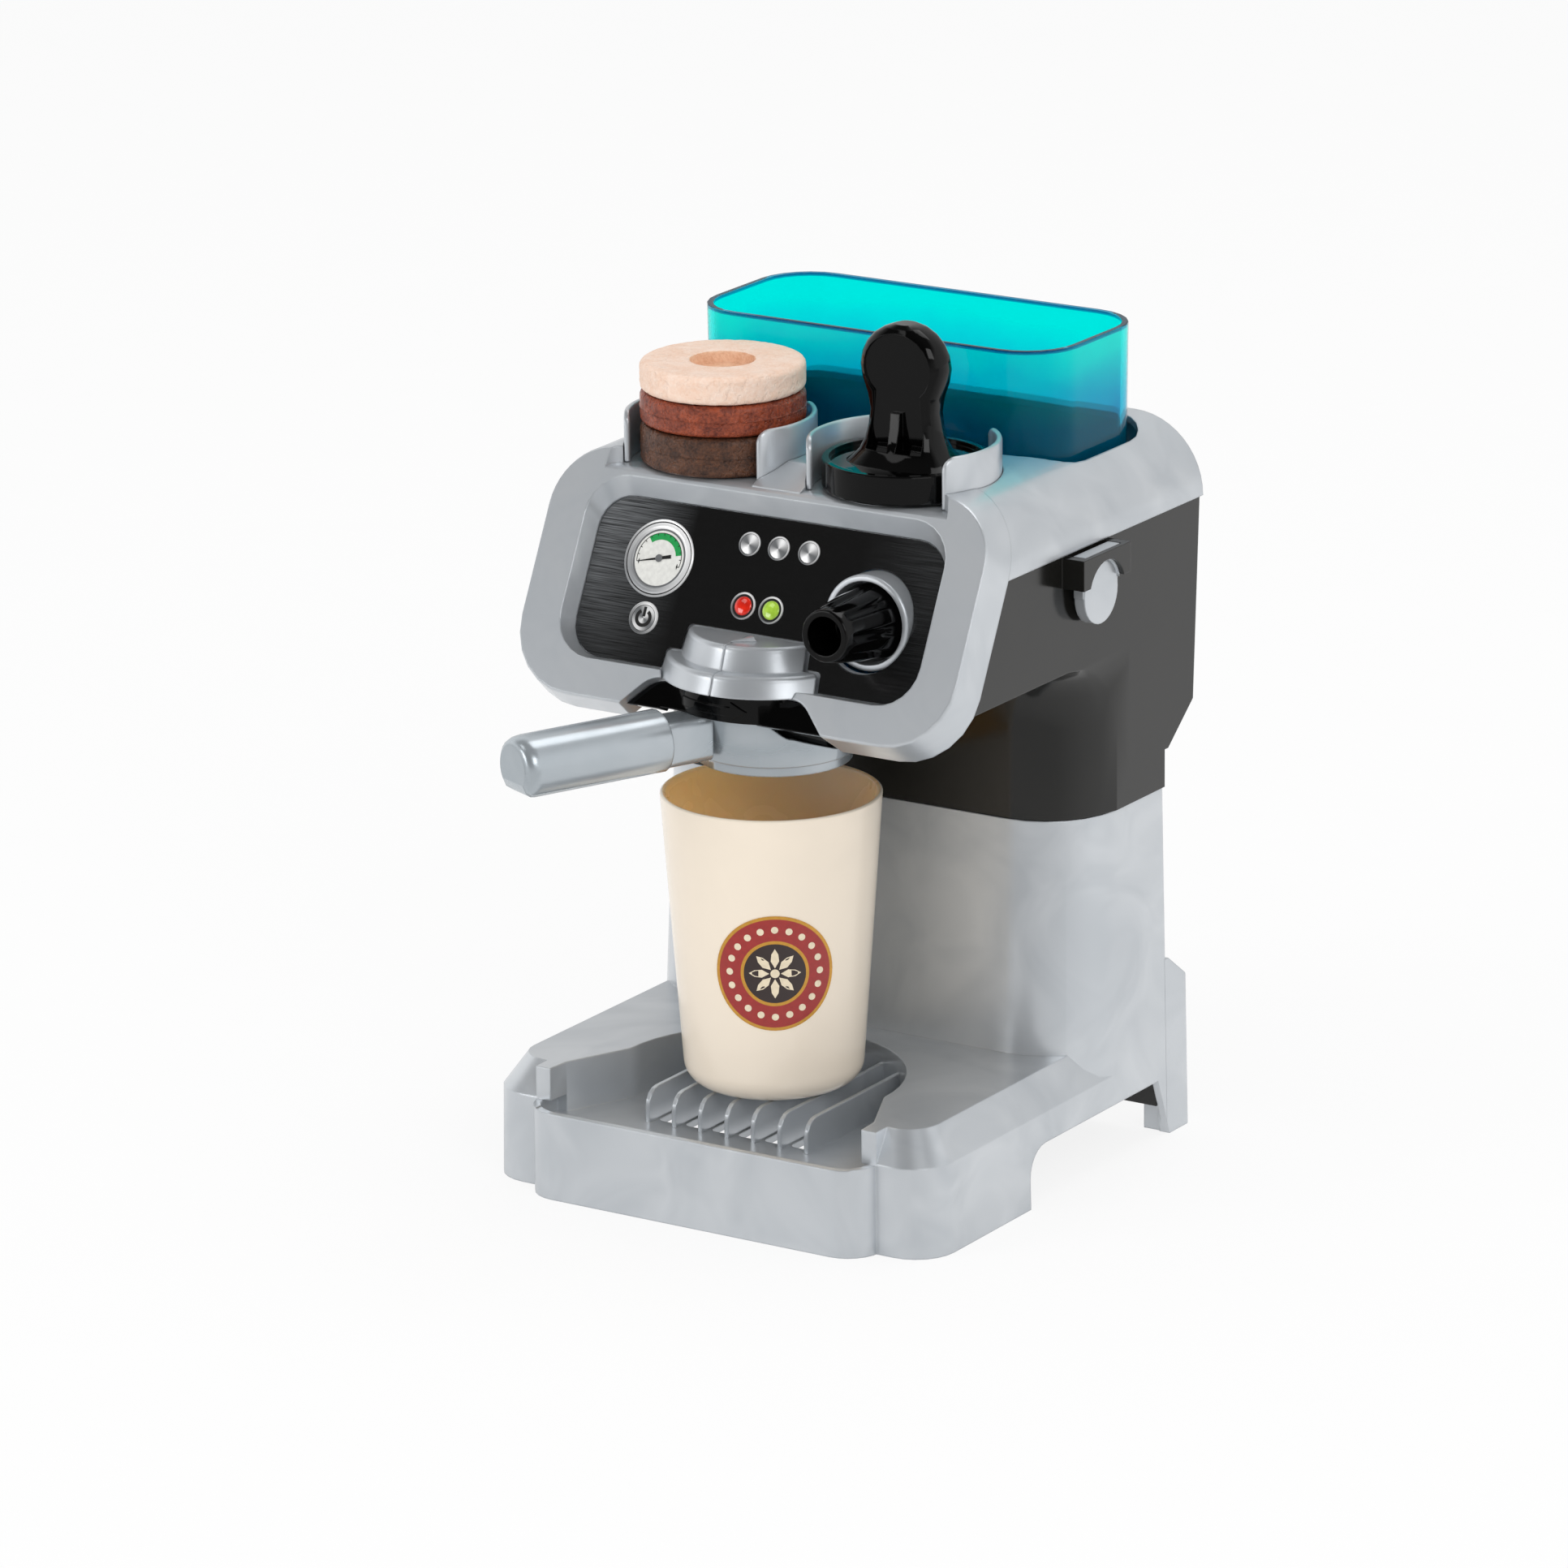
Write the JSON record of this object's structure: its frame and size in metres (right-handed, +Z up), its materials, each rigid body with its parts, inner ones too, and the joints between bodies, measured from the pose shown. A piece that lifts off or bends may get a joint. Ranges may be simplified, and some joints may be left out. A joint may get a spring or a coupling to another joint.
{
  "type": "toy coffee maker",
  "caption": "Toy espresso machine with lift-out water tank, twist-in portafilter, turning knob, side push button, coffee pads, tamper and a cup on its grate",
  "frame": {"origin": "middle of the footprint of the whole, on the surface that the machine stands on", "axes": "X to the right of someone who faces the control front, Y to the back, Z up; the sloping control front faces -Y"},
  "size_m": [0.1818, 0.2272, 0.2915],
  "materials": {
    "silver": "satin pearl",
    "bright_silver": "metallic gloss",
    "black": "gloss",
    "gloss_black": "high gloss",
    "plate": "brushed print under a gloss film",
    "cream": "gloss",
    "pad_cream": "rough, crumbly",
    "pad_red": "mottled, half gloss",
    "pad_dark": "mottled, half gloss",
    "screw": "bright",
    "tank": "clear turquoise gloss"
  },
  "bodies": {
    "housing": {"base": "silver", "back_cover": "black", "upper_body": "black", "hood": "silver", "pad_seat_wall": "silver", "tamper_seat_wall": "silver", "front_plate": "plate", "group_head": "silver", "bayonet_collar": "gloss_black", "knob_socket": "silver", "button_spring": "screw", "cover_screw_1": "screw", "cover_screw_2": "screw", "cover_screw_3": "screw", "cover_screw_4": "screw"},
    "portafilter": {"filter_bowl": "bright_silver", "handle_grip": "bright_silver", "handle_screw": "screw"},
    "knob": {"control_knob": "gloss_black", "knob_washer": "screw", "knob_screw": "screw"},
    "button": {"side_button": "silver", "button_washer": "screw", "button_screw": "screw"},
    "tank": {"water_tank": "tank"},
    "dark_pad": {"pad_dark": "pad_dark"},
    "red_pad": {"pad_red": "pad_red"},
    "cream_pad": {"pad_cream": "pad_cream"},
    "tamper": {"tamper": "gloss_black"},
    "cup": {"cup": "cream"}
  },
  "joints": [
    {"name": "portafilter_turn", "type": "hinge", "parent": "housing", "child": "portafilter", "pos_m": [-0.00345, -0.01774, 0.1612], "axis": [0, 0, 1], "range_deg": [0, 30]},
    {"name": "knob_turn", "type": "hinge", "parent": "housing", "child": "knob", "pos_m": [0.03985, -0.02786, 0.20241], "axis": [0, -0.9976, 0.0698], "continuous": true},
    {"name": "button_press", "type": "slide", "parent": "housing", "child": "button", "axis": [-1, 0, 0], "range_m": [0, 0.0015], "stiffness_N_per_m": 400, "springref_m": -0.002, "deforming": ["button_spring"]},
    {"name": "tank_lift", "type": "slide", "parent": "housing", "child": "tank", "axis": [0, 0, 1], "range_m": [0, 0.1]},
    {"name": "dark_pad_lift", "type": "slide", "parent": "housing", "child": "dark_pad", "axis": [0, 0, 1], "range_m": [0, 0.025]},
    {"name": "red_pad_lift", "type": "slide", "parent": "dark_pad", "child": "red_pad", "axis": [0, 0, 1], "range_m": [0, 0.025]},
    {"name": "cream_pad_lift", "type": "slide", "parent": "red_pad", "child": "cream_pad", "axis": [0, 0, 1], "range_m": [0, 0.025]},
    {"name": "tamper_lift", "type": "slide", "parent": "housing", "child": "tamper", "axis": [0, 0, 1], "range_m": [0, 0.03]},
    {"name": "cup_slide", "type": "slide", "parent": "housing", "child": "cup", "axis": [0, -1, 0], "range_m": [0, 0.08]}
  ]
}
